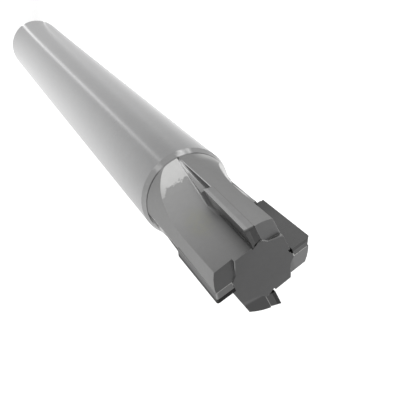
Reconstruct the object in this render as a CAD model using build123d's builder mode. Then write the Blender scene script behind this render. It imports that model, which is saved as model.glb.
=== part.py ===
"""Corner radius end mill: a round shank with a four-tooth head and brazed diamond-tipped inserts.

The tool stands on the end of its shank. The origin is the middle of that end face, and +Z runs
along the axis to the cutting head. Tooth 1 points along +X and the others follow every quarter
turn. Seen from the front the tool cuts as it turns anticlockwise, so each rake face looks that way.
"""

import os
from math import cos, radians, sin, sqrt, tan

from build123d import *

# Whole tool
overall_length = 175.0
shank_diameter = 20.0
shank_end_chamfer = 1.0
tooth_count = 4

# Head and the shoulder that carries it
head_length = 31.3
shoulder_length = 1.45
neck_diameter = 18.76
land_diameter = 18.4
blend_radius = 20.0
shoulder_line_width = 0.22
shoulder_line_depth = 0.1
core_recess = 0.12

# Cutting edges
cutting_diameter = 19.4
corner_radius = 0.5
axial_rake = 1.5
side_relief = 20.0
end_relief = 10.0

# Insert: a hard backing with a diamond layer on its front
insert_length = 15.4
insert_thickness = 1.8
insert_inner_radius = 5.9
diamond_thickness = 0.7
braze_gap = 0.1
braze_foot = 0.7

# Pocket that the insert is brazed into, and its run-out behind the insert. The pocket beside the
# shallow flute has no root groove
pocket_end_clearance = 0.2
root_groove_depth = 0.45
root_groove_width = 0.25
run_out_wheel_radius = 28.0
run_out_front = 0.87
run_out_back = 1.87
run_out_taper = 3.05
ridge_fall_start = 17.0
ridge_back_radius = 8.75
low_ridge_radius = 8.35
low_ridge_tooth = 1

# Flutes: each floor is its distance from the axis and its tilt towards the tooth before it, and the
# flute ahead of one tooth is cut shallower than the others
flute_floor = 5.68
flute_tilt = 2.5
shallow_floor = 6.5
shallow_tilt = 7.5
shallow_tooth = 3
flute_straight = 11.7
flute_wheel_radius = 45.8
flute_wall_lead = 0.17
flute_wall_taper = 7.0
flute_corner_radius = 0.3
rake_clearance_width = 3.0

# Raised middle of the front face, beside each tooth: distance along the tooth and behind its rake
core_shoulder_start = (5.7, 2.0)
core_shoulder_bend = (4.8, 2.8)
core_shoulder_slope = 20.8
core_edge_break = 0.15

# Values worked out from the ones above
shank_radius = shank_diameter / 2
neck_radius = neck_diameter / 2
land_radius = land_diameter / 2
cutting_radius = cutting_diameter / 2
shoulder_z = overall_length - head_length
neck_z = shoulder_z + shoulder_length
flute_end_z = neck_z + shoulder_line_width / 2
blend_rise = neck_radius - land_radius
blend_length = sqrt(blend_radius**2 - (blend_radius - blend_rise) ** 2)
core_z = overall_length - core_recess
flute_run_out_z = overall_length - flute_straight
ridge_fall_z = overall_length - ridge_fall_start
tooth_angle = 360.0 / tooth_count
pocket_depth = insert_thickness + braze_gap
pocket_floor = insert_inner_radius - braze_gap
pocket_length = insert_length + pocket_end_clearance
pocket_end_z = overall_length - pocket_length
clear = shank_radius / 2
reach = shank_radius + clear
top_z = overall_length + clear

# The rake face leans back from the axis by the axial rake. Across it, x is the distance along the
# tooth and y is the distance in front of the rake face; z runs up the cutting edge.
rake_section = Plane(
    origin=(0, 0, overall_length),
    x_dir=(1, 0, 0),
    z_dir=(0, sin(radians(axial_rake)), cos(radians(axial_rake))),
)
# The end relief falls away behind the rake face
end_relief_plane = Plane(
    origin=(0, 0, overall_length),
    x_dir=(1, 0, 0),
    z_dir=(0, -sin(radians(end_relief)), cos(radians(end_relief))),
)


def side_view(tilt=0.0):
    """Plane seen along a flute's width: x is the distance from the axis and y runs up the tool."""
    lean = radians(tilt)
    return Plane(origin=(0, 0, 0), x_dir=(cos(lean), sin(lean), 0), z_dir=(sin(lean), -cos(lean), 0))


def plane_behind_rake(distance, taper):
    """Upright plane across the tooth, this far behind the rake at the pocket's end, leaning back."""
    lean = radians(taper)
    return Plane(
        origin=(0, -distance, pocket_end_z),
        x_dir=(1, 0, 0),
        z_dir=(0, cos(lean), -sin(lean)),
    )


def flank_radius(depth):
    """Distance from the axis of the relieved flank, this deep behind the rake face."""
    return cutting_radius - depth * tan(radians(side_relief))


# Turned blank: shank, shoulder cone, ground line, concave blend and the head's cylinder
with BuildPart() as blank:
    with BuildSketch(Plane.XZ):
        with BuildLine():
            Polyline(
                (0, core_z),
                (0, 0),
                (shank_radius - shank_end_chamfer, 0),
                (shank_radius, shank_end_chamfer),
                (shank_radius, shoulder_z),
                (neck_radius, neck_z),
                (neck_radius - shoulder_line_depth, neck_z + shoulder_line_width / 2),
                (neck_radius, neck_z + shoulder_line_width),
            )
            TangentArc(
                (land_radius, neck_z + shoulder_line_width + blend_length),
                (neck_radius, neck_z + shoulder_line_width),
                tangent=(0, -1),
            )
            Polyline(
                (land_radius, neck_z + shoulder_line_width + blend_length),
                (land_radius, core_z),
                (0, core_z),
            )
        make_face()
    revolve(axis=Axis.Z)


def wheel_sweep(floor, straight_end_z, wheel_radius, end_z, upper_z, front=0.0, tilt=0.0):
    """Outline of what a grinding wheel sweeps, seen from the side of a tooth.

    It is a straight floor at a distance from the axis, then the arc that the wheel leaves as it
    runs out towards the shank. It is drawn this far ahead of the rake face, across the tilt.
    """
    rise = wheel_radius - sqrt(wheel_radius**2 - (straight_end_z - end_z) ** 2)
    arc_end = (floor + rise, end_z)
    with BuildSketch(side_view(tilt).offset(-front)) as outline:
        with BuildLine():
            Line((floor, upper_z), (floor, straight_end_z))
            TangentArc((floor, straight_end_z), arc_end, tangent=(0, -1))
            Polyline(arc_end, (reach, end_z), (reach, upper_z), (floor, upper_z))
        make_face()
    return outline


flute_wall = plane_behind_rake(-flute_wall_lead, flute_wall_taper)
rake_plane = Plane(rake_section.origin, x_dir=(1, 0, 0), z_dir=rake_section.y_dir)


def cut_flute(floor, tilt):
    """Flute ahead of a tooth: the wheel's side leaves the wall, its rim the floor and the run-out."""
    profile = wheel_sweep(
        floor, flute_run_out_z, flute_wheel_radius, flute_end_z, top_z, reach, tilt
    )
    with BuildPart() as flute:
        extrude(profile.sketch, amount=2 * reach)
        split(bisect_by=flute_wall, keep=Keep.TOP)
        wall_face = flute.faces().filter_by(flute_wall).sort_by(Axis.Y)[0]
        root_edges = wall_face.edges().filter_by(lambda edge: edge.center().X < neck_radius)
        fillet(root_edges, flute_corner_radius)
    return flute


def cut_clearance(floor, tilt):
    """Beside the insert the flute is opened right up to the rake face, along the same floor."""
    profile = wheel_sweep(
        floor, flute_run_out_z, flute_wheel_radius, pocket_end_z, top_z, rake_clearance_width, tilt
    )
    with BuildPart() as clearance:
        extrude(profile.sketch, amount=2 * rake_clearance_width)
        split(bisect_by=rake_plane, keep=Keep.TOP)
    return clearance


flute = cut_flute(flute_floor, flute_tilt)
rake_clearance = cut_clearance(flute_floor, flute_tilt)
shallow_flute = cut_flute(shallow_floor, shallow_tilt)
shallow_clearance = cut_clearance(shallow_floor, shallow_tilt)


def cut_pocket(front_outline):
    """Pocket for the insert, with this outline on its front side, from the outside to the root."""
    with BuildPart() as pocket:
        with BuildSketch(rake_section.offset(clear)):
            with BuildLine():
                Polyline(
                    (pocket_floor, -pocket_depth),
                    (reach, -pocket_depth),
                    *front_outline,
                    (pocket_floor, braze_foot - pocket_depth),
                    (pocket_floor, -pocket_depth),
                )
            make_face()
        extrude(amount=-(clear + pocket_length))
    return pocket


# The groove along the root, that the insert's inner end overhangs
groove_root = flute_floor - root_groove_depth
groove_outline = ((reach, root_groove_width), (groove_root, root_groove_width), (groove_root, 0))
grooved_pocket = cut_pocket(groove_outline)
plain_pocket = cut_pocket(((reach, 0), (insert_inner_radius, 0)))

# Where the pocket's wheel leaves the body, behind the insert: a narrowing slot that runs out
run_out_rise = land_radius - pocket_floor
run_out_drop = sqrt(run_out_wheel_radius**2 - (run_out_wheel_radius - run_out_rise) ** 2)
run_out_profile = wheel_sweep(
    pocket_floor,
    pocket_end_z,
    run_out_wheel_radius,
    pocket_end_z - run_out_drop,
    pocket_end_z + pocket_end_clearance,
)
with BuildPart() as run_out:
    extrude(run_out_profile.sketch, amount=run_out_back)
    split(bisect_by=plane_behind_rake(run_out_front, run_out_taper), keep=Keep.BOTTOM)


def trim_ridge(front_radius, front_z, back_radius):
    """Cut that takes down the ridge left between the flute and that slot, along a slope."""
    with BuildPart() as trim:
        with BuildSketch(side_view().offset(-clear)):
            with BuildLine():
                Polyline(
                    (front_radius, front_z),
                    (back_radius, neck_z),
                    (reach, neck_z),
                    (reach, front_z),
                    (front_radius, front_z),
                )
            make_face()
        extrude(amount=clear + run_out_back)
        split(bisect_by=flute_wall, keep=Keep.BOTTOM)
    return trim


ridge_trim = trim_ridge(land_radius, ridge_fall_z, ridge_back_radius)
low_ridge_trim = trim_ridge(low_ridge_radius, pocket_end_z, low_ridge_radius)

# End relief of a tooth: everything outside the raised middle falls away behind the rake face
tooth_back = -shallow_floor - core_recess
core_slope_run = (-tooth_back - core_shoulder_bend[1]) * tan(radians(core_shoulder_slope))
with BuildPart() as tooth_end:
    with BuildSketch(Plane.XY.offset(overall_length - clear)):
        with BuildLine():
            Polyline(
                (core_shoulder_start[0], root_groove_width),
                (core_shoulder_start[0], -core_shoulder_start[1]),
                (core_shoulder_bend[0], -core_shoulder_bend[1]),
                (core_shoulder_bend[0] - core_slope_run, tooth_back),
                (reach, tooth_back),
                (reach, root_groove_width),
                (core_shoulder_start[0], root_groove_width),
            )
        make_face()
    extrude(amount=2 * clear)
    split(bisect_by=end_relief_plane, keep=Keep.TOP)


def turn_to(tooth):
    """Turn that takes the first tooth's place to this tooth's."""
    return Location((0, 0, 0), (0, 0, (tooth - 1) * tooth_angle))


def is_core_rim(edge):
    """Tell the slanted edges of the raised middle from those along the flutes and pockets."""
    along = edge.tangent_at(0)
    slanted = min(abs(along.X), abs(along.Y)) > sin(radians(shallow_tilt + axial_rake))
    return slanted and sqrt(edge.center().X**2 + edge.center().Y**2) > core_shoulder_start[0]


# The body: one ground piece
with BuildPart() as body:
    add(blank.part)
    for tooth in range(1, tooth_count + 1):
        with Locations(turn_to(tooth)):
            if tooth == shallow_tooth:
                add(shallow_flute.part, mode=Mode.SUBTRACT)
                add(shallow_clearance.part, mode=Mode.SUBTRACT)
                add(plain_pocket.part, mode=Mode.SUBTRACT)
            else:
                add(flute.part, mode=Mode.SUBTRACT)
                add(rake_clearance.part, mode=Mode.SUBTRACT)
                add(grooved_pocket.part, mode=Mode.SUBTRACT)
            add(run_out.part, mode=Mode.SUBTRACT)
            add(ridge_trim.part, mode=Mode.SUBTRACT)
            if tooth == low_ridge_tooth:
                add(low_ridge_trim.part, mode=Mode.SUBTRACT)
            add(tooth_end.part, mode=Mode.SUBTRACT)
    core_face = body.faces().sort_by(Axis.Z)[-1]
    core_rim = core_face.edges().filter_by(is_core_rim)
    chamfer(core_rim, core_edge_break)

# The insert with its braze, as one ground blank: side relief, end relief and the corner radius
with BuildPart() as ground_tip:
    with BuildSketch(rake_section.offset(clear)):
        with BuildLine():
            Polyline(
                (pocket_floor, 0),
                (cutting_radius, 0),
                (flank_radius(pocket_depth), -pocket_depth),
                (pocket_floor, -pocket_depth),
                (pocket_floor, 0),
            )
        make_face()
    extrude(amount=-(clear + insert_length))
    split(bisect_by=end_relief_plane, keep=Keep.BOTTOM)
    corner_edge = ground_tip.faces().sort_by(Axis.Z)[-1].edges().sort_by(Axis.X)[-1]
    fillet(corner_edge, corner_radius)


def tip_slice(front, back, inner_radius):
    """Block across the rake section, from one depth to another and out from a radius."""
    with BuildPart() as block:
        with BuildSketch(rake_section.offset(clear)):
            with BuildLine():
                Polyline(
                    (inner_radius, -front),
                    (reach, -front),
                    (reach, -back),
                    (inner_radius, -back),
                    (inner_radius, -front),
                )
            make_face()
        extrude(amount=-(clear + pocket_length))
    return block


with BuildPart() as diamond_tip:
    add(ground_tip.part)
    add(tip_slice(-clear, diamond_thickness, insert_inner_radius).part, mode=Mode.INTERSECT)

with BuildPart() as backing_tip:
    add(ground_tip.part)
    add(tip_slice(diamond_thickness, insert_thickness, insert_inner_radius).part, mode=Mode.INTERSECT)

# The braze fills the gap behind the insert and turns under its inner end
with BuildPart() as braze_tip:
    add(ground_tip.part)
    add(tip_slice(pocket_depth - braze_foot, pocket_depth, pocket_floor).part, mode=Mode.INTERSECT)
    add(tip_slice(0, insert_thickness, insert_inner_radius).part, mode=Mode.SUBTRACT)

os.makedirs("parts", exist_ok=True)

body.part.label = "body"
export_step(body.part, "parts/body.step")

for tooth in range(1, tooth_count + 1):
    for name, tip in (
        ("diamond_layer", diamond_tip),
        ("insert_backing", backing_tip),
        ("braze_joint", braze_tip),
    ):
        with BuildPart() as piece:
            with Locations(turn_to(tooth)):
                add(tip.part)
        piece.part.label = f"{name}_{tooth}"
        export_step(piece.part, f"parts/{name}_{tooth}.step")
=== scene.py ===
"""Dressed model of a four-tooth corner radius end mill with brazed diamond inserts."""

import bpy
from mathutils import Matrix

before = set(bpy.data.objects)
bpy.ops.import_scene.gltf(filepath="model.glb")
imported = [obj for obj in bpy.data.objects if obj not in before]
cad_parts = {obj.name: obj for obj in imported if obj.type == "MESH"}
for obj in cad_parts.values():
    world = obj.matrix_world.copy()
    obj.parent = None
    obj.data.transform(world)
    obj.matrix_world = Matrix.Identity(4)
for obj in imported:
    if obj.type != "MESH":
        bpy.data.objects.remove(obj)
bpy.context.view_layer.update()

import logging
import math
from dataclasses import dataclass, field
from enum import Enum
from typing import Iterable, Union

import bpy
from mathutils import Vector

LOG = logging.getLogger("end_mill")
MM = 0.001
PHOTO_SIDE = 420
RAYS_TO_EDGE = 6
EDGE_TURN = (0.01, 0.22)
MIX_COLOURS = (6, 7)
MIX_RESULT = 2
FULL_TURN = 360.0

Triple = tuple[float, float, float]
Colour = Triple
Span = tuple[float, float]
Stops = tuple[Span, ...]
Owner = Union[bpy.types.Material, bpy.types.World]
Value = Union[float, "Wire"]
Paint = Union[Colour, "Wire"]


def grey(level: float) -> Colour:
    """A grey of one level."""
    return (level, level, level)


def opaque(colour: Colour) -> tuple[float, float, float, float]:
    """A colour with full alpha."""
    return (*colour, 1.0)


BLACK = grey(0.0)
WHITE = grey(1.0)
MILLED_STEEL = (0.225, 0.225, 0.224)
# The grey of painted highlights and of painted light in shaded hollows.
PAINTED_LIGHT_STEEL = (0.5, 0.5, 0.495)


class Layer(Enum):
    """The three pieces that make up each insert, from its rake face inwards."""

    DIAMOND = "diamond_layer"
    BACKING = "insert_backing"
    JOINT = "braze_joint"


class Blend(Enum):
    """How two colours meet."""

    PLAIN = "MIX"
    TINTED = "MULTIPLY"


@dataclass(frozen=True)
class Pattern:
    """A noise pattern: lumps to a millimetre, detail, and how it is drawn out along the tool."""

    scale: float = 1.0
    detail: float = 3.0
    rough: float = 0.6
    across: float = 1.0
    along: float = 1.0


class Wire:
    """One shader socket that takes part in arithmetic."""

    def __init__(self, bench: "Bench", socket: bpy.types.NodeSocket) -> None:
        """Wraps a socket.

        Args:
            bench: The node tree that the socket belongs to.
            socket: The output socket.
        """
        self.bench = bench
        self.socket = socket

    def _sum(self, operation: str, left: Value, right: Value) -> "Wire":
        """Adds one Math node.

        Args:
            operation: The Math node's operation.
            left: Its first value.
            right: Its second value.

        Returns:
            The result.
        """
        return self.bench.node("ShaderNodeMath", {"operation": operation}, {0: left, 1: right})

    def __add__(self, other: Value) -> "Wire":
        """Adds."""
        return self._sum("ADD", self, other)

    def __radd__(self, other: Value) -> "Wire":
        """Adds to a number."""
        return self._sum("ADD", other, self)

    def __sub__(self, other: Value) -> "Wire":
        """Subtracts."""
        return self._sum("SUBTRACT", self, other)

    def __rsub__(self, other: Value) -> "Wire":
        """Subtracts from a number."""
        return self._sum("SUBTRACT", other, self)

    def __mul__(self, other: Value) -> "Wire":
        """Multiplies."""
        return self._sum("MULTIPLY", self, other)

    def __rmul__(self, other: Value) -> "Wire":
        """Multiplies a number."""
        return self._sum("MULTIPLY", other, self)

    def __truediv__(self, other: Value) -> "Wire":
        """Divides."""
        return self._sum("DIVIDE", self, other)

    def __pow__(self, other: Value) -> "Wire":
        """Raises to a power."""
        return self._sum("POWER", self, other)

    def __abs__(self) -> "Wire":
        """Drops the sign."""
        return self._sum("ABSOLUTE", self, 0.0)

    def least(self, other: Value) -> "Wire":
        """The smaller of two values."""
        return self._sum("MINIMUM", self, other)

    def most(self, other: Value) -> "Wire":
        """The larger of two values."""
        return self._sum("MAXIMUM", self, other)

    def whole(self) -> "Wire":
        """The whole number below."""
        return self._sum("FLOOR", self, 0.0)

    def sine(self) -> "Wire":
        """The sine of an angle in radians."""
        return self._sum("SINE", self, 0.0)

    def cosine(self) -> "Wire":
        """The cosine of an angle in radians."""
        return self._sum("COSINE", self, 0.0)

    def turn_from(self, other: "Wire") -> "Wire":
        """The angle whose sine is along this value and whose cosine is along the other."""
        return self._sum("ARCTAN2", self, other)

    def rise(self, start: float, end: float) -> "Wire":
        """A smooth step from 0 at start to 1 at end.

        Args:
            start: Where the step begins.
            end: Where it is complete, above or below start.

        Returns:
            The mask.
        """
        low, high, first = (start, end, 0.0) if start < end else (end, start, 1.0)
        source = {"Value": self, "From Min": low, "From Max": high}
        target = {"To Min": first, "To Max": 1.0 - first}
        smooth = {"interpolation_type": "SMOOTHSTEP"}
        return self.bench.node("ShaderNodeMapRange", smooth, {**source, **target})

    def rise_at(self, level: float, span: Span) -> "Wire":
        """A smooth step about a level.

        Args:
            level: The level.
            span: Where the step begins and is complete, measured from the level.

        Returns:
            The mask.
        """
        return self.rise(level + span[0], level + span[1])

    def swing(self, width: float) -> "Wire":
        """Noise of this width about zero."""
        return (self - 0.5) * width


class Bench:
    """A node tree, with the places and patterns that finishes share."""

    def __init__(self, owner: Owner) -> None:
        """Empties the owner's tree.

        Args:
            owner: The material or world that is worked on.
        """
        self.owner = owner
        owner.use_nodes = True
        self.tree = owner.node_tree
        self.tree.nodes.clear()

    def node(self, kind: str, settings: dict, values: dict, output: Union[int, str] = 0) -> Wire:
        """Makes one node of any type.

        Args:
            kind: The node's type.
            settings: Its properties, set before its sockets; "stops" fills a ramp.
            values: A number, tuple or wire for each input named or counted.
            output: The output wanted.

        Returns:
            That output.
        """
        made = self.tree.nodes.new(kind)
        for key, setting in settings.items():
            if key == "stops":
                self._fill_ramp(made.color_ramp, setting)
            else:
                setattr(made, key, setting)
        for key, value in values.items():
            if isinstance(value, Wire):
                self.tree.links.new(value.socket, made.inputs[key])
            else:
                made.inputs[key].default_value = value
        return Wire(self, made.outputs[output])

    @staticmethod
    def _fill_ramp(ramp: bpy.types.ColorRamp, stops: list) -> None:
        """Gives a ramp its stops.

        Args:
            ramp: The ramp, with its two first stops.
            stops: Pairs of place and grey or colour.
        """
        while len(ramp.elements) < len(stops):
            ramp.elements.new(0.5)
        for element, (place, colour) in zip(ramp.elements, stops):
            element.position = place
            element.color = opaque(colour)

    def place(self) -> Wire:
        """The point on the object, in millimetres."""
        spot = self.node("ShaderNodeTexCoord", {}, {}, "Object")
        return self.node("ShaderNodeVectorMath", {"operation": "SCALE"}, {0: spot, "Scale": 1.0 / MM})

    def parts(self, vector: Wire) -> tuple[Wire, Wire, Wire]:
        """Takes a vector apart.

        Args:
            vector: The vector.

        Returns:
            Its three numbers.
        """
        made = self.tree.nodes.new("ShaderNodeSeparateXYZ")
        self.tree.links.new(vector.socket, made.inputs[0])
        return tuple(Wire(self, out) for out in made.outputs)

    def joined(self, x: Value, y: Value, z: Value) -> Wire:
        """Three numbers as a vector."""
        return self.node("ShaderNodeCombineXYZ", {}, {0: x, 1: y, 2: z})

    def facing(self) -> tuple[Wire, Wire, Wire]:
        """The surface's own direction, as three numbers."""
        return self.parts(self.node("ShaderNodeTexCoord", {}, {}, "Normal"))

    def noise(self, spot: Wire, pattern: Pattern) -> Wire:
        """Noise from 0 to 1.

        Args:
            spot: The point to read.
            pattern: The noise's size and detail.

        Returns:
            The noise.
        """
        if pattern.across != pattern.along:
            x, y, z = self.parts(spot)
            spot = self.joined(x * pattern.across, y * pattern.across, z * pattern.along)
        size = {"Scale": pattern.scale, "Detail": pattern.detail, "Roughness": pattern.rough}
        return self.node("ShaderNodeTexNoise", {}, {"Vector": spot, **size})

    def mixed(self, share: Value, first: Paint, second: Paint, blend: Blend = Blend.PLAIN) -> Wire:
        """Mixes two colours.

        Args:
            share: How much of the second.
            first: The colour at 0.
            second: The colour at 1.
            blend: How they meet.

        Returns:
            The mixed colour.
        """
        ends = [paint if isinstance(paint, Wire) else opaque(paint) for paint in (first, second)]
        settings = {"data_type": "RGBA", "clamp_factor": True, "blend_type": blend.value}
        values = {0: share, **dict(zip(MIX_COLOURS, ends))}
        return self.node("ShaderNodeMix", settings, values, MIX_RESULT)

    def scaled(self, colour: Wire, amount: Wire) -> Wire:
        """A colour made lighter or darker by a number."""
        return self.node("ShaderNodeVectorMath", {"operation": "SCALE"}, {0: colour, "Scale": amount})

    def colour(self, paint: Colour) -> Wire:
        """A plain colour that a pattern then changes."""
        return self.mixed(0.0, paint, paint)

    def mottled(self, tone: Wire, pattern: Wire, depth: float) -> Wire:
        """A colour made uneven by a pattern.

        Args:
            tone: The colour.
            pattern: The pattern, from 0 to 1.
            depth: How far it darkens and lightens.

        Returns:
            The uneven colour.
        """
        shade = self.mixed(pattern, grey(1.0 - depth), grey(1.0 + depth))
        return self.mixed(1.0, tone, shade, Blend.TINTED)

    def ramp(self, value: Wire, stops: Iterable[Span]) -> Wire:
        """Numbers read off a line of stops.

        Args:
            value: Where to read, from 0 to 1.
            stops: Pairs of place and number.

        Returns:
            The number, as a colour.
        """
        greys = [(place, grey(number)) for place, number in stops]
        return self.node("ShaderNodeValToRGB", {"stops": greys}, {0: value})

    def tooth_frame(self, x: Wire, y: Wire, first_turn: float) -> tuple[Wire, Wire, Wire, Wire]:
        """Turns a point into the frame of the tooth that it belongs to.

        Args:
            x: Its first coordinate.
            y: Its second coordinate.
            first_turn: Where a tooth's share of the turn begins, in radians.

        Returns:
            The height over the axis along the rake face, the distance ahead of that
            face, the distance from the axis, and the tooth's own turn.
        """
        across = (x * x + y * y) ** 0.5
        turn = y.turn_from(x)
        quarter = math.pi / 2.0
        tooth = ((turn - first_turn) / quarter).whole() * quarter
        folded = turn - tooth
        return across * folded.cosine(), across * folded.sine(), across, tooth

    def edge(self, radius: float) -> Wire:
        """A mask that is 1 on edges and 0 on open faces.

        Args:
            radius: How far the edge reaches, in millimetres.

        Returns:
            The mask.
        """
        true = self.node("ShaderNodeNewGeometry", {}, {}, "Normal")
        dot = {"operation": "DOT_PRODUCT"}
        along = self.node("ShaderNodeVectorMath", dot, {0: self.soft_edge(radius), 1: true}, "Value")
        return (1.0 - along).rise(*EDGE_TURN)

    def soft_edge(self, radius: float) -> Wire:
        """The normal with edges rounded by a radius in millimetres."""
        return self.node("ShaderNodeBevel", {"samples": RAYS_TO_EDGE}, {"Radius": radius * MM})

    def relief(self, height: Wire, depth: float, normal: Wire) -> Wire:
        """A bumped normal.

        Args:
            height: The relief, from 0 to 1.
            depth: Its full height in millimetres.
            normal: The normal that it stands on.

        Returns:
            The normal.
        """
        values = {"Strength": 1.0, "Distance": depth * MM, "Height": height, "Normal": normal}
        return self.node("ShaderNodeBump", {}, values)

    def surface(self, fixed: dict, varied: dict) -> Wire:
        """Makes a surface shader.

        Args:
            fixed: Numbers that hold all over.
            varied: Wires for what changes over the surface.

        Returns:
            The shader.
        """
        return self.node("ShaderNodeBsdfPrincipled", {}, {**fixed, **varied})

    def finish(self, fixed: dict, varied: dict) -> bpy.types.Material:
        """Puts one surface shader on.

        Args:
            fixed: Numbers that hold all over.
            varied: Wires for what changes over the surface.

        Returns:
            The finished material.
        """
        return self.ended(self.surface(fixed, varied))

    def ended(self, surface: Wire, kind: str = "ShaderNodeOutputMaterial") -> Owner:
        """Ends the tree in its output.

        Args:
            surface: The shader that the output takes.
            kind: The output's type.

        Returns:
            The tree's owner.
        """
        made = self.tree.nodes.new(kind)
        self.tree.links.new(surface.socket, made.inputs["Surface"])
        return self.owner


@dataclass(frozen=True)
class Plan:
    """Where the forms of the body lie, in millimetres and radians.

    Each Span is where a mask starts and where it is complete. Heights from the front are
    negative, and distances ahead are measured from the rake face of the nearest tooth.
    """

    shoulder: float = 143.7
    neck: float = 145.15
    front: float = 175.0
    neck_radius: float = 9.3
    first_turn: float = -0.63
    flute_length: float = 30.0
    slot_top: float = -15.6
    slot_edge: float = 0.87
    slot_taper: float = 0.0533
    head_start: Span = (-0.3, 0.05)
    in_from_neck: Span = (0.0, -0.12)
    facing_front: Span = (0.5, 0.8)
    floor_facing: Span = (0.3, 0.2)
    beside_insert: Span = (1.6, 1.2)
    past_lip: Span = (0.0, 0.05)
    turn_waver: float = 0.16


@dataclass(frozen=True)
class SteelGrain:
    """The patterns on the steel, from the grinding rings to the finest grit."""

    rings: Pattern = Pattern(across=0.15, along=6.0)
    cloud: Pattern = Pattern(0.12, rough=0.55)
    mottle: Pattern = Pattern(0.9)
    torn: Pattern = Pattern(1.3, 4.0, 0.65)
    strokes: Pattern = Pattern(across=2.5, along=0.35)
    grit: Pattern = Pattern(9.0, 2.0)


class Site:
    """The body's surface: places, directions, patterns and areas that its finishes share."""

    def __init__(self, bench: Bench, plan: Plan, grain: SteelGrain) -> None:
        """Works out what the finishes share.

        Args:
            bench: The node tree.
            plan: Where the forms of the body lie.
            grain: The patterns on the steel.
        """
        self.bench = bench
        self.plan = plan
        spot = bench.place()
        self.x, self.y, self.z = bench.parts(spot)
        facing_x, facing_y, self.up = bench.facing()
        self.from_front = self.z - plan.front
        self.down = self.from_front / -plan.flute_length
        self.rake, self.ahead, self.across, tooth = bench.tooth_frame(self.x, self.y, plan.first_turn)
        self.facing_ahead = facing_y * tooth.cosine() - facing_x * tooth.sine()
        self.rings = bench.noise(spot, grain.rings)
        self.cloud = bench.noise(spot, grain.cloud)
        self.mottle = bench.noise(spot, grain.mottle)
        self.torn = bench.noise(spot, grain.torn)
        self.strokes = bench.noise(spot, grain.strokes)
        self.grit = bench.noise(spot, grain.grit)
        self.turn = self.y.turn_from(self.x) + self.torn.swing(plan.turn_waver)

        taper = (self.from_front - plan.slot_top).least(0.0) * plan.slot_taper
        self.lip = self.ahead + plan.slot_edge - taper
        self.head = self.z.rise_at(plan.neck, plan.head_start)
        self.front = self.head * self.up.rise(*plan.facing_front)
        self.inside = self.head * self.across.rise_at(plan.neck_radius, plan.in_from_neck)
        flat = self.facing_ahead.rise(*plan.floor_facing).most(self.ahead.rise(*plan.beside_insert))
        self.floor = self.head * flat * self.lip.rise(*plan.past_lip)


@dataclass(frozen=True)
class GroundShank:
    """The cylindrically ground shank, its colour darkened towards the head as painted shade."""

    steel: Colour = (0.36, 0.36, 0.362)
    head_shade: Stops = ((0.2, 1.0), (0.5, 0.92), (0.68, 0.82), (0.8, 0.7), (0.84, 0.66))
    level: float = 1.04
    ring_swing: float = 0.06

    def paint(self, site: Site) -> Wire:
        """Colours the shank.

        Args:
            site: The body's surface.

        Returns:
            The colour.
        """
        # Painted shade: the shank's colour darkens towards the head.
        head_shade = site.bench.ramp(site.z / site.plan.front, self.head_shade)
        shade = site.bench.scaled(head_shade, self.level + site.rings.swing(self.ring_swing))
        return site.bench.mixed(1.0, self.steel, shade, Blend.TINTED)


@dataclass(frozen=True)
class MilledFlute:
    """The milled head and its flutes, with painted shade on the floors towards the front and by the
    insert's root, painted light towards the neck, and stained by flux.
    """

    flux_stain: Colour = (1.0, 1.005, 0.93)
    along: Stops = ((0.03, 0.75), (0.25, 0.87), (0.5, 1.06), (0.8, 1.3))
    root: Stops = ((0.03, 0.6), (0.07, 0.66), (0.13, 0.76), (0.25, 0.9), (0.42, 1.0))
    root_width: float = 8.0
    root_part: Span = (-17.5, -12.5)
    stain_ahead: float = 3.6
    stain_height: float = -13.5
    stain_width: float = 2.6
    stain_length: float = 5.0
    stain_fade: Span = (1.3, 0.1)
    stain_mottle: Span = (0.3, 0.6)

    def paint(self, site: Site, tone: Wire) -> Wire:
        """Colours the head and the floors of its flutes.

        Args:
            site: The body's surface.
            tone: The colour under it.

        Returns:
            The colour.
        """
        bench = site.bench
        # Painted light and shade: the floors darken towards the front and next to the insert's root, and
        # brighten towards the neck.
        along = bench.ramp(site.down, self.along)
        root = bench.ramp(site.ahead / self.root_width, self.root)
        root_shade = bench.mixed(1.0, along, root, Blend.TINTED)
        shade = bench.mixed(site.from_front.rise(*self.root_part), along, root_shade)
        tone = bench.mixed(site.head, tone, MILLED_STEEL)
        tone = bench.mixed(site.floor, tone, bench.mixed(1.0, MILLED_STEEL, shade, Blend.TINTED))
        sideways = (site.ahead - self.stain_ahead) / self.stain_width
        lengthways = (site.from_front - self.stain_height) / self.stain_length
        spread = (sideways ** 2.0 + lengthways ** 2.0).rise(*self.stain_fade)
        stain = site.floor * spread * site.mottle.rise(*self.stain_mottle)
        return bench.mixed(stain, tone, self.flux_stain, Blend.TINTED)


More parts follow.
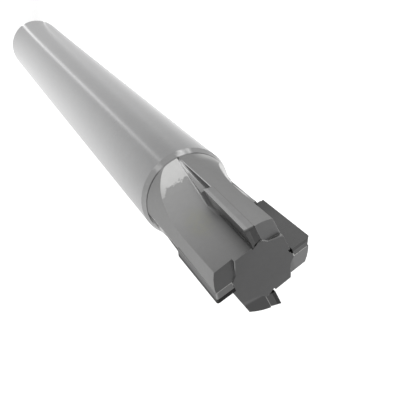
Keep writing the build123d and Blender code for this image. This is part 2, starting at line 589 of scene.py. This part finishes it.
@dataclass(frozen=True)
class FluteEndHighlight:
    """A painted highlight on the end of each flute, where it climbs to the neck, torn along its lower
    rim.
    """

    torn_width: float = 1.1
    far_side: Span = (3.8, 5.5)
    far_lift: float = 0.5
    start: Span = (-15.8, -16.2)
    rim: Span = (7.55, 7.7)
    near_side: Span = (1.2, 0.6)
    near_start: Span = (-23.0, -24.0)
    climbing: Span = (0.12, 0.2)
    gleam: Span = (0.75, 0.95)
    gleam_gain: float = 0.16
    dimming: Span = (3.4, 6.0)
    dimming_loss: float = 0.2
    share: float = 0.9

    def paint(self, site: Site, tone: Wire) -> Wire:
        """Paints the highlight on the ends of the flutes.

        Args:
            site: The body's surface.
            tone: The colour under it.

        Returns:
            The colour.
        """
        # Painted highlight: the end of each flute is lightened as if it caught the light.
        reach = site.rake + site.torn.swing(self.torn_width)
        reach = reach + site.ahead.rise(*self.far_side) * self.far_lift
        near = site.ahead.rise(*self.near_side) * site.from_front.rise(*self.near_start)
        there = (near + site.up.rise(*self.climbing)).least(1.0)
        highlight_patch = site.floor * site.from_front.rise(*self.start) * reach.rise(*self.rim) * there
        gain = 1.0 + site.down.rise(*self.gleam) * self.gleam_gain
        gain = gain - site.ahead.rise(*self.dimming) * self.dimming_loss
        bright = site.bench.scaled(site.bench.colour(PAINTED_LIGHT_STEEL), gain)
        return site.bench.mixed(highlight_patch * self.share, tone, bright)


@dataclass(frozen=True)
class RunOutSlot:
    """The slot behind each insert, with painted light on its side wall, in its pit and in its dim depth,
    a painted highlight on the crest of its ridge, and a painted glow inside it.
    """

    wall_grey: Colour = grey(0.68)
    wall_facing: Span = (0.4, 0.7)
    wall_ahead: Span = (1.0, 0.7)
    wall_top: Span = (-15.65, -15.9)
    wall_down: Span = (0.57, 0.7)
    wall_gain: float = 0.85
    wall_share: float = 0.1
    crest_grey: Colour = grey(0.65)
    crest_near: Span = (-0.03, 0.02)
    crest_far: Span = (0.15, 0.1)
    crest_height: Span = (8.2, 8.5)
    crest_down: Span = (0.52, 0.9)
    pit_foot: Span = (-15.75, -15.65)
    pit_top: Span = (-15.4, -15.5)
    pit_facing: Span = (0.6, 0.8)
    depth_grey: Colour = grey(0.5)
    slot_back: Span = (-2.05, -1.95)
    slot_lip: Span = (0.0, -0.05)
    slot_top: Span = (-15.65, -15.8)
    slot_floor: Span = (0.7, 0.4)
    slot_light: float = 0.055
    end_light: float = 0.1
    end_down: Span = (0.86, 0.98)
    hollow_ahead: Span = (0.4, 0.3)
    hollow_start: Span = (-11.0, -14.0)
    hollow_height: Span = (6.6, 6.2)

    def paint(self, site: Site, tone: Wire) -> tuple[Wire, Wire]:
        """Paints light into the slot and gives a painted glow in place of light scattered inside it.

        Args:
            site: The body's surface.
            tone: The colour under it.

        Returns:
            The colour and the painted glow.
        """
        bench, height, open_side = site.bench, site.from_front, 1.0 - site.front
        # Painted light: the shaded side wall is lightened, most towards the neck.
        wall = site.head * site.facing_ahead.rise(*self.wall_facing) * site.ahead.rise(*self.wall_ahead)
        wall = wall * site.lip.rise(*site.plan.past_lip) * height.rise(*self.wall_top)
        wall_share = site.down.rise(*self.wall_down) * self.wall_gain + self.wall_share
        tone = bench.mixed(wall * wall_share, tone, self.wall_grey)
        # Painted highlight along the crest of the ridge.
        crest = site.head * site.lip.rise(*self.crest_near) * site.lip.rise(*self.crest_far)
        crest = crest * site.rake.rise(*self.crest_height) * site.down.rise(*self.crest_down)
        tone = bench.mixed(crest, tone, self.crest_grey)
        # Painted light: the shaded end face at the top of the slot is lightened.
        pit = site.inside * height.rise(*self.pit_foot) * height.rise(*self.pit_top)
        pit = pit * site.up.rise(*self.pit_facing)
        tone = bench.mixed(pit, tone, PAINTED_LIGHT_STEEL)
        # Painted light: the slot's shaded floor is lightened.
        slot = site.inside * site.ahead.rise(*self.slot_back) * site.lip.rise(*self.slot_lip)
        slot = slot * open_side * height.rise(*self.slot_top) * (1.0 - crest)
        tone = bench.mixed(slot * site.facing_ahead.rise(*self.slot_floor), tone, self.depth_grey)

        # Painted glow: the slot and the hollow by the insert's root glow though they are no lamps.
        light = self.slot_light + site.down.rise(*self.end_down) * self.end_light
        hollow = site.inside * site.ahead.rise(*self.hollow_ahead) * height.rise(*self.hollow_start)
        hollow = hollow * height.rise(*self.pit_foot) * open_side
        hollow = hollow * site.rake.rise(*self.hollow_height) + pit
        glow = bench.scaled(bench.mixed(slot, BLACK, WHITE), light)
        return tone, bench.mixed(hollow, glow, grey(self.slot_light))


@dataclass(frozen=True)
class FrontFace:
    """The lapped front face and its bevels, with painted light and shade on its tooth ends, its bevels
    and the step of its raised middle.
    """

    steel: Colour = (0.21, 0.21, 0.211)
    shadow: Colour = grey(0.03)
    level: float = 1.04
    slope: float = 0.006
    flat: Span = (0.996, 0.992)
    flat_gain: float = 0.12
    beyond_x: Span = (5.0, 5.6)
    beyond_x_gain: float = 0.22
    beyond_y: Span = (-5.0, -5.6)
    beyond_y_loss: float = 0.46
    bevel_facing: Span = (0.95, 0.9)
    bevel_x: Span = (-4.0, -4.6)
    bevel_share: float = 0.8
    step_foot: Span = (-1.25, -1.15)
    step_radius: Span = (7.6, 7.4)
    lit_y: Span = (2.6, 3.0)
    lit_outer_x: Span = (4.2, 3.4)
    lit_inner_x: Span = (1.6, 2.0)
    riser_y: Span = (-3.4, -3.8)
    riser_share: float = 0.9

    def paint(self, site: Site, tone: Wire) -> Wire:
        """Colours the front face.

        Args:
            site: The body's surface.
            tone: The colour under it.

        Returns:
            The colour.
        """
        bench, x, y = site.bench, site.x, site.y
        # Painted light and shade: the face lightens towards +X, its tilted tooth ends are lighter, most
        # past +X, and darker past -Y.
        gain = self.flat_gain + x.rise(*self.beyond_x) * self.beyond_x_gain
        gain = gain - y.rise(*self.beyond_y) * self.beyond_y_loss
        level = self.level + x * self.slope + site.front * site.up.rise(*self.flat) * gain
        tone = bench.mixed(site.front, tone, bench.scaled(bench.colour(self.steel), level))
        # Painted shadow on the bevels past -X.
        bevel = site.front * site.up.rise(*self.bevel_facing) * x.rise(*self.bevel_x)
        tone = bench.mixed(bevel * self.bevel_share, tone, self.shadow)
        # Painted light on the step of the raised middle, and a painted shadow on its riser.
        step = site.inside * (1.0 - site.front) * site.from_front.rise(*self.step_foot)
        step = step * site.across.rise(*self.step_radius)
        lit = step * y.rise(*self.lit_y) * x.rise(*self.lit_outer_x) * x.rise(*self.lit_inner_x)
        tone = bench.mixed(lit, tone, MILLED_STEEL)
        return bench.mixed(step * y.rise(*self.riser_y) * self.riser_share, tone, self.shadow)


@dataclass(frozen=True)
class PaintedStreak:
    """One painted highlight streak on the cone: its turn, how it fades to its sides, and its share."""

    turn: float
    fade: Span
    share: float


@dataclass(frozen=True)
class ShoulderCone:
    """The cone between shank and neck, with painted shade on its -X side and painted highlight streaks
    and spots.
    """

    steel: Colour = grey(0.26)
    painted_highlight: Colour = grey(0.62)
    foot: Span = (-0.1, 0.1)
    top: Span = (0.1, -0.1)
    dimmed_x: Span = (-8.0, -9.5)
    dimmed_gain: float = -0.12
    streaks: tuple[PaintedStreak, ...] = (
        PaintedStreak(1.27, (0.14, 0.0), 1.0), PaintedStreak(1.08, (0.1, 0.0), 0.5), PaintedStreak(1.84, (0.12, 0.02), 0.3),
    )
    spots: Span = (0.62, 0.8)
    spot_share: float = 0.3
    least_mottle: float = 0.45

    def paint(self, site: Site, tone: Wire) -> Wire:
        """Colours the cone.

        Args:
            site: The body's surface.
            tone: The colour under it.

        Returns:
            The colour.
        """
        bench, plan = site.bench, site.plan
        cone = site.z.rise_at(plan.shoulder, self.foot) * site.z.rise_at(plan.neck, self.top)
        # Painted shade: the cone darkens on its -X side.
        level = 1.0 + site.x.rise(*self.dimmed_x) * self.dimmed_gain
        tone = bench.mixed(cone, tone, bench.scaled(bench.colour(self.steel), level))
        # Painted highlights: streaks and spots where lamps would be caught.
        painted_highlight = sum(abs(site.turn - one.turn).rise(*one.fade) * one.share for one in self.streaks)
        painted_highlight = painted_highlight + site.mottle.rise(*self.spots) * self.spot_share
        share = cone * painted_highlight * (site.mottle + self.least_mottle).least(1.0)
        return bench.mixed(share, tone, self.painted_highlight)


@dataclass(frozen=True)
class NeckRim:
    """The head's rim at the neck: a painted shadow on its -X side and a painted glare ahead of +X, over
    a painted shadow line at its foot.
    """

    shadow: Colour = grey(0.05)
    shadow_start: Span = (-22.5, -25.0)
    shadow_x: Span = (-8.95, -9.2)
    shadow_share: float = 0.9
    glare_radius: Span = (9.05, 9.15)
    glare_turn: Span = (1.12, 0.72)
    glare_start: Span = (-26.0, -29.5)
    least_torn: float = 0.4
    line: Colour = grey(0.06)
    line_foot: Span = (-0.22, -0.1)
    line_top: Span = (0.12, 0.0)
    line_far: Span = (1.75, 2.0)
    line_far_share: float = 0.45
    line_near: Span = (1.15, 0.95)
    line_near_share: float = 0.6
    line_share: float = 0.25

    def paint(self, site: Site, tone: Wire) -> Wire:
        """Paints a shadow and a glare on the rim and a shadow line at its foot.

        Args:
            site: The body's surface.
            tone: The colour under it.

        Returns:
            The colour.
        """
        bench, height, neck = site.bench, site.from_front, site.plan.neck
        # Painted shadow on the -X side of the rim.
        shaded = site.head * height.rise(*self.shadow_start) * site.x.rise(*self.shadow_x)
        tone = bench.mixed(shaded * self.shadow_share, tone, self.shadow)
        # Painted glare ahead of +X.
        glare = site.head * site.across.rise(*self.glare_radius) * site.turn.rise(*self.glare_turn)
        glare = glare * height.rise(*self.glare_start) * (site.torn + self.least_torn).least(1.0)
        tone = bench.mixed(glare, tone, PAINTED_LIGHT_STEEL)
        # Painted shadow line along the neck's foot, darker at some turns.
        line = site.z.rise_at(neck, self.line_foot) * site.z.rise_at(neck, self.line_top)
        far = site.turn.rise(*self.line_far) * self.line_far_share
        near = site.turn.rise(*self.line_near) * self.line_near_share
        return bench.mixed(line * (far + near + self.line_share), tone, self.line)


@dataclass(frozen=True)
class EdgeHighlights:
    """Painted highlights along the edges, except those in the slots and at the roots of the inserts."""

    steel: Colour = grey(0.42)
    radius: float = 0.07
    share: float = 0.25
    slot_top: Span = (-15.6, -16.0)
    slot_front: Span = (-1.5, -1.7)
    slot_back: Span = (-2.3, -2.1)
    root_ahead: Span = (1.2, 0.9)
    root_height: Span = (7.0, 6.7)
    root_top: Span = (-1.5, -2.0)

    def paint(self, site: Site, tone: Wire) -> Wire:
        """Paints the highlights along the edges.

        Args:
            site: The body's surface.
            tone: The colour under it.

        Returns:
            The colour.
        """
        slot = site.head * site.from_front.rise(*self.slot_top) * site.ahead.rise(*self.slot_front)
        slot = slot * site.ahead.rise(*self.slot_back)
        root = site.head * site.ahead.rise(*self.root_ahead) * site.rake.rise(*self.root_height)
        root = root * site.from_front.rise(*self.root_top)
        # Painted highlight along the edges, kept off the slots and the roots of the inserts.
        edge_highlight = site.bench.edge(self.radius) * (1.0 - (slot + root).least(1.0))
        return site.bench.mixed(edge_highlight * self.share, tone, self.steel)


@dataclass(frozen=True)
class ToolSteel:
    """Hardened steel: a cylindrically ground shank, darkened towards the head by painted shade, and a
    milled head.

    The grinding marks of the shank have an anisotropy and a lay, which is a share of a turn.
    head_rim is how bright the head's reflections are at a grazing angle.
    """

    plan: Plan = Plan()
    grain: SteelGrain = SteelGrain()
    shank: GroundShank = GroundShank()
    flute: MilledFlute = MilledFlute()
    highlight_patch: FluteEndHighlight = FluteEndHighlight()
    slot: RunOutSlot = RunOutSlot()
    face: FrontFace = FrontFace()
    cone: ShoulderCone = ShoulderCone()
    rim: NeckRim = NeckRim()
    edges: EdgeHighlights = EdgeHighlights()
    cloud_share: float = 0.6
    mottle_share: float = 0.4
    shade_depth: float = 0.12
    roughness: float = 0.29
    cloud_rough: float = 0.06
    ring_rough: float = 0.04
    head_rough: float = 0.12
    grit_share: float = 0.3
    mark_depth: float = 0.003
    anisotropy: float = 0.75
    lay: float = 0.25
    head_rim: Colour = grey(0.6)

    def material(self) -> bpy.types.Material:
        """Builds the material.

        Returns:
            The material for the body.
        """
        bench = Bench(bpy.data.materials.new("hardened_tool_steel"))
        site = Site(bench, self.plan, self.grain)
        tone = self.flute.paint(site, self.shank.paint(site))
        tone, glow = self.slot.paint(site, self.highlight_patch.paint(site, tone))
        for area in (self.face, self.cone, self.rim, self.edges):
            tone = area.paint(site, tone)
        pattern = site.cloud * self.cloud_share + site.mottle * self.mottle_share
        rough = self.roughness + site.cloud.swing(self.cloud_rough)
        rough = rough + site.rings.swing(self.ring_rough) + site.head * self.head_rough
        marks = site.rings * (1.0 - site.head) + site.strokes * site.head + site.grit * self.grit_share
        varied = {
            "Base Color": bench.mottled(tone, pattern, self.shade_depth),
            "Roughness": rough,
            "Normal": bench.relief(marks, self.mark_depth, bench.soft_edge(self.edges.radius)),
        }
        turned = {"Metallic": 1.0, "Anisotropic": self.anisotropy, "Anisotropic Rotation": self.lay}
        # The head's Emission Color is the slot's painted glow.
        dull = {"Metallic": 1.0, "Specular Tint": opaque(self.head_rim), "Emission Strength": 1.0}
        shank_surface = bench.surface(turned, varied)
        head_surface = bench.surface(dull, {**varied, "Emission Color": glow})
        values = {0: site.head, 1: shank_surface, 2: head_surface}
        return bench.ended(bench.node("ShaderNodeMixShader", {}, values))


@dataclass(frozen=True)
class SinteredCarbide:
    """Ground tungsten carbide of the insert backing.

    end and land are the greys of its end and of its other faces, set per tooth as painted light
    and shade, and rim is how bright its reflections are at a grazing angle.
    """

    name: str
    end: float
    land: float
    edge_highlight: Colour = grey(0.5)
    edge_highlight_share: float = 0.2
    edge_radius: float = 0.05
    facing_end: Span = (0.3, 0.6)
    marks: Pattern = Pattern(across=9.0, along=0.6)
    grain: Pattern = Pattern(14.0, 2.0)
    cloud: Pattern = Pattern(0.6, 2.0, 0.5)
    shade_depth: float = 0.1
    roughness: float = 0.4
    cloud_rough: float = 0.08
    grain_rough: float = 0.06
    mark_share: float = 0.7
    grain_share: float = 0.3
    mark_depth: float = 0.002
    rim: Colour = grey(0.5)

    def material(self) -> bpy.types.Material:
        """Builds the material.

        Returns:
            The material for the insert backing.
        """
        bench = Bench(bpy.data.materials.new(self.name))
        spot = bench.place()
        _, _, up = bench.facing()
        marks = bench.noise(spot, self.marks)
        grain = bench.noise(spot, self.grain)
        cloud = bench.noise(spot, self.cloud)
        # Painted light and shade: the end and the other faces take the greys set for this tooth.
        tone = bench.mixed(up.rise(*self.facing_end), grey(self.land), grey(self.end))
        # Painted highlight along the edges.
        tone = bench.mixed(bench.edge(self.edge_radius) * self.edge_highlight_share, tone, self.edge_highlight)
        rough = self.roughness + cloud.swing(self.cloud_rough) + grain.swing(self.grain_rough)
        marks = marks * self.mark_share + grain * self.grain_share
        varied = {
            "Base Color": bench.mottled(tone, cloud, self.shade_depth),
            "Roughness": rough,
            "Normal": bench.relief(marks, self.mark_depth, bench.soft_edge(self.edge_radius)),
        }
        return bench.finish({"Metallic": 1.0, "Specular Tint": opaque(self.rim)}, varied)


@dataclass(frozen=True)
class PolishedDiamond:
    """Polished polycrystalline diamond: dark on its rake face and end, ground on its land.

    rake and land are the greys of those faces, set per tooth as painted light and shade, back
    scales the rake face's grey at its back end as painted light and shade, and rim is how bright
    its reflections are at a grazing angle.
    """

    name: str
    rake: float
    land: float
    back: float = 1.0
    rim: float = 1.0
    back_part: Span = (168.0, 160.0)
    facing_out: Span = (0.75, 0.9)
    edge_highlight: Colour = grey(0.22)
    edge_highlight_share: float = 0.2
    edge_radius: float = 0.04
    grain: Pattern = Pattern(22.0, 2.0, 0.7)
    cloud: Pattern = Pattern(0.5, 2.0, 0.5)
    grain_share: float = 0.6
    cloud_share: float = 0.4
    shade_depth: float = 0.15
    roughness: float = 0.3
    rough_swing: float = 0.1
    grain_depth: float = 0.0008
    metallic: float = 0.9
    ior: float = 2.2

    def material(self) -> bpy.types.Material:
        """Builds the material.

        Returns:
            The material for the diamond layer.
        """
        bench = Bench(bpy.data.materials.new(self.name))
        spot = bench.place()
        x, y, z = bench.parts(spot)
        facing_x, facing_y, _ = bench.facing()
        outward = (x * facing_x + y * facing_y) / (x * x + y * y) ** 0.5
        grain = bench.noise(spot, self.grain)
        cloud = bench.noise(spot, self.cloud)
        # Painted light and shade: the rake face's grey is scaled towards its back end.
        rake = bench.mixed(z.rise(*self.back_part), grey(self.rake), grey(self.rake * self.back))
        tone = bench.mixed(outward.rise(*self.facing_out), rake, grey(self.land))
        # Painted highlight along the edges.
        tone = bench.mixed(bench.edge(self.edge_radius) * self.edge_highlight_share, tone, self.edge_highlight)
        pattern = grain * self.grain_share + cloud * self.cloud_share
        varied = {
            "Base Color": bench.mottled(tone, pattern, self.shade_depth),
            "Roughness": self.roughness + cloud.swing(self.rough_swing) + grain.swing(self.rough_swing),
            "Normal": bench.relief(grain, self.grain_depth, bench.soft_edge(self.edge_radius)),
        }
        fixed = {"Metallic": self.metallic, "IOR": self.ior, "Specular Tint": opaque(grey(self.rim))}
        return bench.finish(fixed, varied)


@dataclass(frozen=True)
class SilverBraze:
    """Silver brazing alloy: dull and thin along the lands, silver on the ends in lumps that carry a
    painted highlight.

    bright is the grey of those lumps, set per tooth as painted light and shade, and warmth what is left
    of their blue.
    """

    name: str
    bright: float
    warmth: float = 0.97
    dull: Colour = (0.17, 0.168, 0.165)
    facing_end: Span = (0.3, 0.6)
    painted_highlight: Span = (0.3, 0.42)
    lumps: Pattern = Pattern(1.6)
    grain: Pattern = Pattern(12.0, 2.0)
    lump_share: float = 0.7
    grain_share: float = 0.3
    lump_depth: float = 0.02
    edge_radius: float = 0.03
    roughness: float = 0.3
    grain_rough: float = 0.15

    def material(self) -> bpy.types.Material:
        """Builds the material.

        Returns:
            The material for one braze joint.
        """
        bench = Bench(bpy.data.materials.new(self.name))
        spot = bench.place()
        _, _, up = bench.facing()
        lumps = bench.noise(spot, self.lumps)
        grain = bench.noise(spot, self.grain)
        # Painted highlight: lumps on the ends take the silver grey set for this tooth.
        end = up.rise(*self.facing_end) * lumps.rise(*self.painted_highlight)
        silver = (self.bright, self.bright, self.bright * self.warmth)
        beads = lumps * self.lump_share + grain * self.grain_share
        varied = {
            "Base Color": bench.mixed(end, self.dull, silver),
            "Roughness": self.roughness + grain * self.grain_rough,
            "Normal": bench.relief(beads, self.lump_depth, bench.soft_edge(self.edge_radius)),
        }
        return bench.finish({"Metallic": 1.0}, varied)


def dress(node: str, material: bpy.types.Material) -> None:
    """Gives a CAD node its finish.

    Args:
        node: The node's name.
        material: The finish.
    """
    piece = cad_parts[node]
    for slot in piece.material_slots:
        slot.material = material
    if not piece.material_slots:
        piece.data.materials.append(material)


@dataclass
class Blank:
    """The one-piece steel body: shank, shoulder, neck and toothed head."""

    node: str = "body"
    finish: ToolSteel = field(default_factory=ToolSteel)

    def build(self) -> None:
        """Dresses the body."""
        dress(self.node, self.finish.material())
        LOG.info("dressed %s", self.node)


@dataclass
class Insert:
    """One brazed insert: a diamond layer on a carbide backing, and its joint.

    rake, end, braze, land and backing_land are the greys of its faces, set per tooth as painted
    light and shade; back and rim are the diamond layer's own.
    """

    tooth: int
    rake: float
    end: float
    braze: float
    land: float = 0.235
    backing_land: float = 0.235
    back: float = 1.0
    rim: float = 1.0

    def build(self) -> None:
        """Dresses the three pieces."""
        finishes = {
            Layer.DIAMOND: PolishedDiamond(
                f"polished_diamond_{self.tooth}", self.rake, self.land, self.back, self.rim
            ),
            Layer.BACKING: SinteredCarbide(f"ground_carbide_{self.tooth}", self.end, self.backing_land),
            Layer.JOINT: SilverBraze(f"silver_braze_{self.tooth}", self.braze),
        }
        for layer, finish in finishes.items():
            dress(f"{layer.value}_{self.tooth}", finish.material())
        LOG.info("dressed insert %d", self.tooth)


@dataclass
class SoftBox:
    """One soft studio lamp."""

    name: str
    azimuth: float
    elevation: float
    power: float
    side: float = 0.5
    distance: float = 0.7
    target: Vector = field(default_factory=lambda: Vector((0.0, 0.0, 0.12)))

    def build(self) -> None:
        """Hangs the lamp, facing its target."""
        lamp = bpy.data.lights.new(self.name, "AREA")
        lamp.shape = "SQUARE"
        lamp.size = self.side
        lamp.energy = self.power
        holder = bpy.data.objects.new(self.name, lamp)
        bpy.context.scene.collection.objects.link(holder)
        turn, lift = math.radians(self.azimuth), math.radians(self.elevation)
        back = Vector((math.cos(turn) * math.cos(lift), math.sin(turn) * math.cos(lift), math.sin(lift)))
        holder.location = self.target + back * self.distance
        holder.rotation_mode = "QUATERNION"
        holder.rotation_quaternion = back.to_track_quat("Z", "Y")
        holder.visible_camera = False


@dataclass
class Studio:
    """Floor, light and camera."""

    floor_side: float = 3.0
    floor_albedo: Colour = grey(0.5)
    floor_roughness: float = 0.9
    floor_glow: float = 3.0
    glow_reach: Span = (0.125, 0.1)
    glow_stops: Stops = (
        (0.0, 0.37), (17.0, 0.30), (38.0, 0.285), (41.6, 0.5), (45.0, 0.26), (60.0, 0.245), (88.0, 0.26),
        (91.0, 0.72), (93.0, 0.72), (96.0, 0.26), (110.0, 0.28), (137.0, 0.36), (157.0, 0.41),
        (177.0, 0.45), (205.0, 0.45), (237.0, 0.36), (265.0, 0.34), (280.0, 0.4), (297.0, 0.8),
        (320.0, 0.75), (337.0, 0.50), (360.0, 0.37),
    )
    far_stops: Stops = (
        (0.0, 0.29), (38.0, 0.29), (41.6, 0.5), (45.0, 0.29), (150.0, 0.29), (190.0, 0.4), (235.0, 0.4),
        (260.0, 0.3), (290.0, 0.29), (303.0, 0.52), (325.0, 0.52), (340.0, 0.29), (360.0, 0.29),
    )
    sky_stops: Stops = (
        (0.0, 1.0), (0.35, 0.9), (0.58, 0.52), (0.7, 0.42), (0.88, 0.36), (1.0, 0.34),
    )
    camera_spot: Triple = (-0.01546, 0.06892, 0.24089)
    camera_turn: Triple = (-29.38426, -26.79647, -25.34621)
    focal_pixels: float = 571.54
    sensor_width: float = 36.0
    nearest: float = 0.005

    def _around(self, bench: Bench, turn: Wire, stops: Stops) -> Wire:
        """The floor's glow around the tool.

        Args:
            bench: The node tree.
            turn: The turn about the tool, from 0 to 1.
            stops: Pairs of degrees and glow.

        Returns:
            The glow.
        """
        return bench.ramp(turn, [(angle / FULL_TURN, glow) for angle, glow in stops])

    def floor(self) -> None:
        """Lays the plain pale floor under the shank's end, lit unevenly as by soft boxes."""
        bpy.ops.object.select_all(action="DESELECT")
        bpy.ops.mesh.primitive_plane_add(size=self.floor_side, location=(0.0, 0.0, 0.0))
        floor = bpy.context.object
        floor.name = "floor"
        bench = Bench(bpy.data.materials.new("pale_floor"))
        x, y, _ = bench.parts(bench.place())
        turn = y.turn_from(x) / math.tau
        turn = turn - turn.whole()
        near = ((x * x + y * y) ** 0.5 * MM).rise(*self.glow_reach)
        far_glow = self._around(bench, turn, self.far_stops)
        glow = bench.mixed(near, far_glow, self._around(bench, turn, self.glow_stops))
        fixed = {
            "Base Color": opaque(self.floor_albedo),
            "Roughness": self.floor_roughness,
            "Emission Strength": self.floor_glow,
        }
        floor.data.materials.append(bench.finish(fixed, {"Emission Color": glow}))

    def sky(self) -> None:
        """Fills the studio with even light, brightest at the horizon."""
        world = bpy.data.worlds.new("studio")
        bpy.context.scene.world = world
        bench = Bench(world)
        _, _, height = bench.parts(bench.node("ShaderNodeTexCoord", {}, {}, "Generated"))
        light = bench.ramp(height, self.sky_stops)
        even = bench.node("ShaderNodeBackground", {}, {"Color": light, "Strength": 1.0})
        bench.ended(even, "ShaderNodeOutputWorld")

    def lamps(self) -> None:
        """Hangs the lamps."""
        SoftBox("key_box", azimuth=215.0, elevation=40.0, power=0.35).build()
        SoftBox("fill_box", azimuth=-25.0, elevation=5.0, power=1.2).build()

    def camera(self) -> None:
        """Sets the camera at the photograph's viewing angle."""
        lens = bpy.data.cameras.new("camera")
        lens.sensor_width = self.sensor_width
        lens.lens = self.focal_pixels / PHOTO_SIDE * lens.sensor_width
        lens.clip_start = self.nearest
        holder = bpy.data.objects.new("camera", lens)
        bpy.context.scene.collection.objects.link(holder)
        holder.location = self.camera_spot
        holder.rotation_euler = [math.radians(angle) for angle in self.camera_turn]
        bpy.context.scene.camera = holder

    def build(self) -> None:
        """Sets up floor, light and camera."""
        bpy.context.scene.view_settings.view_transform = "Standard"
        self.floor()
        self.sky()
        self.lamps()
        self.camera()
        LOG.info("studio is set")


def main() -> None:
    """Builds every sub-assembly."""
    logging.basicConfig(level=logging.INFO, format="%(name)s: %(message)s")
    Studio().build()
    Blank().build()
    # Each tooth's greys are lit and shaded copies of the same finishes: painted light and shade.
    for insert in (
        Insert(1, rake=0.085, end=0.2, braze=0.8, back=0.7),
        Insert(2, rake=0.14, end=0.125, braze=0.06, back=3.2),
        Insert(3, rake=0.055, end=0.34, braze=0.7, land=0.06, backing_land=0.17, rim=0.45),
        Insert(4, rake=0.07, end=0.16, braze=0.42),
    ):
        insert.build()


if __name__ == "__main__":
    main()
